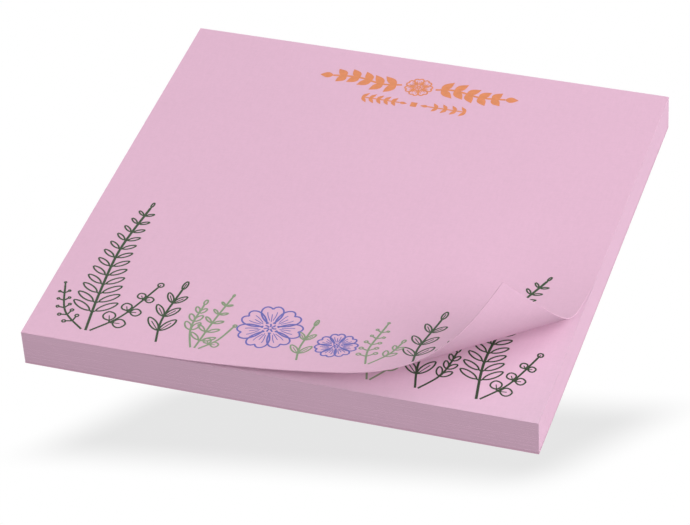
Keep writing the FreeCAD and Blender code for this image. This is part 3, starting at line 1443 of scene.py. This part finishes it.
    @staticmethod
    def stem_mesh(stems: Sequence[Stem]) -> bpy.types.Object:
        """Makes one mesh of edges from the stems' places, which keeps their leaf sizes and weights.

        Args:
            stems: The stems.

        Returns:
            The object that holds the mesh.
        """
        thing = empty_mesh("stems")
        places = []
        edges = []
        sizes = []
        weights = []
        for stem in stems:
            first = len(places)
            places.extend((x * MM, y * MM, 0.0) for x, y in stem.points)
            edges.extend((first + i, first + i + 1) for i in range(len(stem.points) - 1))
            sizes.extend([stem.size] * len(stem.points))
            weights.extend([stem.weight] * len(stem.points))
        thing.data.from_pydata(places, edges, [])
        for name, values in (("leaf_size", sizes), ("weight", weights)):
            attribute = thing.data.attributes.new(name, "FLOAT", "POINT")
            attribute.data.foreach_set("value", values)
        return thing

    def draw(
        self, name: str, ink: Ink, paper: float, hidden: tuple[float, float], finish: bpy.types.Material
    ) -> bpy.types.Object:
        """Draws everything of one ink on one sheet.

        Args:
            name: The piece's name.
            ink: Which ink.
            paper: Height of the sheet's upper side.
            hidden: Reaches of the ruling up to which the sheet is covered.
            finish: The ink's material.

        Returns:
            The ink as closed flat bars.
        """
        pen = self.pen_values(paper, hidden, finish)
        drawn = []
        for motif in Motif:
            stems = [stem for stem in STEMS if stem.ink is ink and stem.motif is motif]
            if stems:
                tree = self.solid_plants if motif.value.solid else self.outlined_plants
                drawn.append(run_tree(self.stem_mesh(stems), tree, motif.value.values() | pen, "plants"))
        for blossom in BLOSSOMS:
            if blossom.ink is ink:
                drawn.append(run_tree(empty_mesh("flower"), self.blossoms, blossom.values() | pen, "flower"))
        return merged(drawn, name, finish)


def merged(things: Sequence[bpy.types.Object], name: str, finish: bpy.types.Material) -> bpy.types.Object:
    """Joins objects into one.

    Args:
        things: The objects, which are deleted.
        name: The new object's name.
        finish: Its material.

    Returns:
        The new object.
    """
    bm = bmesh.new()
    for thing in things:
        bm.from_mesh(thing.data)
    whole = empty_mesh(name)
    bmesh.ops.delete(bm, geom=[v for v in bm.verts if not v.link_faces], context="VERTS")
    bmesh.ops.recalc_face_normals(bm, faces=bm.faces)
    bm.to_mesh(whole.data)
    bm.free()
    whole.data.materials.append(finish)
    for thing in things:
        bpy.data.objects.remove(thing)
    return whole


@dataclass(frozen=True)
class PaintedFloorShadow:
    """The pad's soft shadow, painted on the floor, which lies in front of it and slants to the right.

    Attributes:
        corner: Its front left corner, in metres.
        long_side: From there to the front right corner.
        short_side: From there to the back left corner.
        end_blur: Share of the long side over which an end fades, on either side of it.
        side_blur: The same for the short side.
        depth: How much light the middle of the shadow lacks.
    """

    corner: Vector = field(default_factory=lambda: Vector((-29.7, -55.2)) * MM)
    long_side: Vector = field(default_factory=lambda: Vector((68.7, 11.5)) * MM)
    short_side: Vector = field(default_factory=lambda: Vector((14.7, 19.1)) * MM)
    end_blur: float = 0.085
    side_blur: float = 0.245
    depth: float = 0.214

    def light(self, maker: ShaderTree) -> bpy.types.NodeSocket:
        """Works out the light on the floor, with the painted shadow.

        Args:
            maker: The floor's tree.

        Returns:
            The socket that holds the light, which is 1 where there is no shadow.
        """
        spot = maker.add("ShaderNodeTexCoord").outputs["Object"]
        away = maker.vector("SUBTRACT", spot, (self.corner.x, self.corner.y, 0.0))
        area = self.long_side.x * self.short_side.y - self.long_side.y * self.short_side.x
        # The painted shadow: a soft-edged slanting quad darkened in the floor's colour.
        shade = self.depth
        directions = ((self.short_side, self.end_blur, 1.0), (self.long_side, self.side_blur, -1.0))
        for other, blur, sign in directions:
            across = (sign * other.y / area, -sign * other.x / area, 0.0)
            product = maker.add("ShaderNodeVectorMath", operation="DOT_PRODUCT")
            share = maker.in_order(product, (away, across)).outputs["Value"]
            for end, way in ((0.0, 1.0), (1.0, -1.0)):
                fade = maker.ranged("SMOOTHSTEP", share, end - way * blur, end + way * blur, 0.0, 1.0)
                shade = maker.math("MULTIPLY", shade, fade)
        return maker.math("SUBTRACT", 1.0, shade)


@dataclass(frozen=True)
class Lamp:
    """One soft square lamp that faces the pad.

    Attributes:
        name: The lamp's name.
        azimuth: Degrees from the front, towards the right.
        elevation: Degrees above the floor.
        power: Strength in watts.
        distance: Metres from the pad.
        size: Side of the lamp in metres.
    """

    name: str
    azimuth: float
    elevation: float
    power: float
    distance: float = 0.9
    size: float = 0.5

    def add(self) -> None:
        """Hangs the lamp in its place."""
        turn, rise = math.radians(self.azimuth), math.radians(self.elevation)
        way = Vector((math.sin(turn) * math.cos(rise), -math.cos(turn) * math.cos(rise), math.sin(rise)))
        data = bpy.data.lights.new(self.name, "AREA")
        data.size = self.size
        data.energy = self.power
        lamp = bpy.data.objects.new(self.name, data)
        bpy.context.collection.objects.link(lamp)
        lamp.location = way * self.distance
        lamp.rotation_euler = way.to_track_quat("Z", "Y").to_euler()


LAMPS = (
    Lamp("front_lamp", 350.0, 20.0, 2.1),
    Lamp("corner_lamp", 50.0, 40.0, 3.64),
    Lamp("right_lamp", 85.0, 20.0, 2.9),
    Lamp("back_lamp", 120.0, 35.0, 3.57),
    Lamp("low_lamp", 230.0, 14.0, 4.31),
)


@dataclass
class Studio:
    """Camera, lamps and floor.

    Attributes:
        target: Point that the camera looks at.
        azimuth: Camera's turn about the vertical, from the front towards the right.
        elevation: Camera's height above the horizon.
        roll: Turn of the picture about the line of sight.
        distance: Camera's distance from the target.
        lens: Focal length in millimetres on a 36 mm wide sensor.
        shadow: The soft shadow painted on the floor, which the camera sees.
        floor_reach: How far the floor goes, from the pad's middle.
        floor_grey: Share of the light that the floor throws back on the pad.
        room_light: Light that the room throws on the pad, where 1 is white.
    """

    target: Vector = field(default_factory=lambda: Vector((-0.40, -5.27, -0.02)) * MM)
    azimuth: float = math.radians(20.13)
    elevation: float = math.radians(39.56)
    roll: float = math.radians(-3.77)
    distance: float = 485.6 * MM
    lens: float = 172.1
    shadow: PaintedFloorShadow = field(default_factory=PaintedFloorShadow)
    floor_reach: float = 2.0
    floor_grey: float = 0.1
    room_light: float = 0.19

    def add_camera(self) -> None:
        """Puts the camera where the photograph was taken from."""
        back = Vector((
            math.sin(self.azimuth) * math.cos(self.elevation),
            -math.cos(self.azimuth) * math.cos(self.elevation),
            math.sin(self.elevation),
        ))
        level = Vector((0, 0, 1)).cross(back).normalized()
        upright = back.cross(level)
        right = level * math.cos(self.roll) + upright * math.sin(self.roll)
        up = upright * math.cos(self.roll) - level * math.sin(self.roll)
        data = bpy.data.cameras.new("camera")
        data.sensor_width = 36.0
        data.lens = self.lens
        data.clip_start = 0.01
        camera = bpy.data.objects.new("camera", data)
        bpy.context.collection.objects.link(camera)
        turn = Matrix((right, up, back)).transposed()
        camera.matrix_world = Matrix.Translation(self.target + back * self.distance) @ turn.to_4x4()
        bpy.context.scene.camera = camera

    def add_floor(self) -> None:
        """Adds the floor, which the camera sees white but for the pad's soft shadow, painted in its colour.

        The light that the floor throws back is that of a dull one, so that the sides keep their depth.
        """
        floor = empty_mesh("floor")
        bm = bmesh.new()
        bmesh.ops.create_grid(bm, x_segments=1, y_segments=1, size=self.floor_reach)
        bm.to_mesh(floor.data)
        bm.free()
        finish = bpy.data.materials.new("floor")
        maker = ShaderTree.start(finish)
        grey = (self.floor_grey, self.floor_grey, self.floor_grey, 1.0)
        light = self.shadow.light(maker)
        choice = maker.add("ShaderNodeMixShader")
        maker.in_order(choice, (
            maker.seen_directly(),
            maker.wired("ShaderNodeBsdfDiffuse", {"Color": grey}).outputs[0],
            maker.wired("ShaderNodeEmission", {"Color": maker.combine(light, light, light)}).outputs[0],
        ))
        maker.end_with(choice.outputs[0])
        floor.data.materials.append(finish)

    def add_room(self) -> None:
        """Fills the room with even light and shows it as plain white."""
        room = bpy.data.worlds.new("room")
        maker = ShaderTree.start(room)
        strength = maker.blend(maker.seen_directly(), self.room_light, 1.0)
        white = {"Color": (1.0, 1.0, 1.0, 1.0), "Strength": strength}
        maker.end_with(maker.wired("ShaderNodeBackground", white).outputs[0], "ShaderNodeOutputWorld")
        bpy.context.scene.world = room

    def build(self) -> None:
        """Sets up the whole studio."""
        bpy.context.scene.view_settings.view_transform = "Standard"
        self.add_camera()
        self.add_floor()
        self.add_room()
        for lamp in LAMPS:
            lamp.add()


def report(piece: bpy.types.Object) -> None:
    """Logs a finished piece."""
    LOG.info("%s: %d faces", piece.name, len(piece.data.polygons))


def main() -> None:
    """Builds the pad and its studio, piece by piece."""
    logging.basicConfig(level=logging.INFO, format="%(name)s: %(message)s")
    Studio().build()
    low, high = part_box("sheet_stack")
    note_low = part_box("top_note")[0][2]
    width, depth = high[0] - low[0], high[1] - low[1]
    thickness = (high[2] - low[2]) / (NOTE_COUNT - 1)

    curl = CurlShape()
    curl_tree = curl.tree()
    top = TopNote(width, depth, note_low, note_low + thickness)
    note = top.build(curl, curl_tree, PaperFinish("note_paper", FIRST_NOTE_PINK, Place.FLAT_NOTE).material())
    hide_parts("top_note")
    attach(note, BODY)
    report(note)

    stack = SheetStack(width, depth, low[2], high[2], NOTE_COUNT - 1)
    # The block's level top is painted paler than its cut sides, as painted light.
    block_paper = PaperFinish("block_paper", SECOND_NOTE_PINK_PAINTED_PALER, Place.OBJECT, CUT_SIDE_PINK, thickness)
    block = stack.build(block_paper.material())
    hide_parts("sheet_stack")
    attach(block, BODY)
    report(block)

    design = Print(width, depth)
    whole_sheet = (1.0, 1.0)
    bared_corner = curl.ruling(width, depth, curl.clear_from)
    for ink in Ink:
        finish = InkFinish("ink_" + ink.name.lower(), as_linear(*ink.value)).material()
        flat = design.draw("flat_print", ink, top.high, whole_sheet, finish)
        values = curl.values(width, depth, note_low) | {"Finish": finish}
        drawn = [run_tree(flat, curl_tree, values, "print_" + ink.name.lower())]
        if ink in BARED_INKS:
            drawn.append(design.draw("next_print_" + ink.name.lower(), ink, high[2], bared_corner, finish))
        for piece in drawn:
            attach(piece, BODY)
            report(piece)

    backing_paper = PaperFinish("backing_paper", BACKING_PINK, Place.OBJECT)
    report(BackingSheet().dress(backing_paper.material()))


if __name__ == "__main__":
    main()
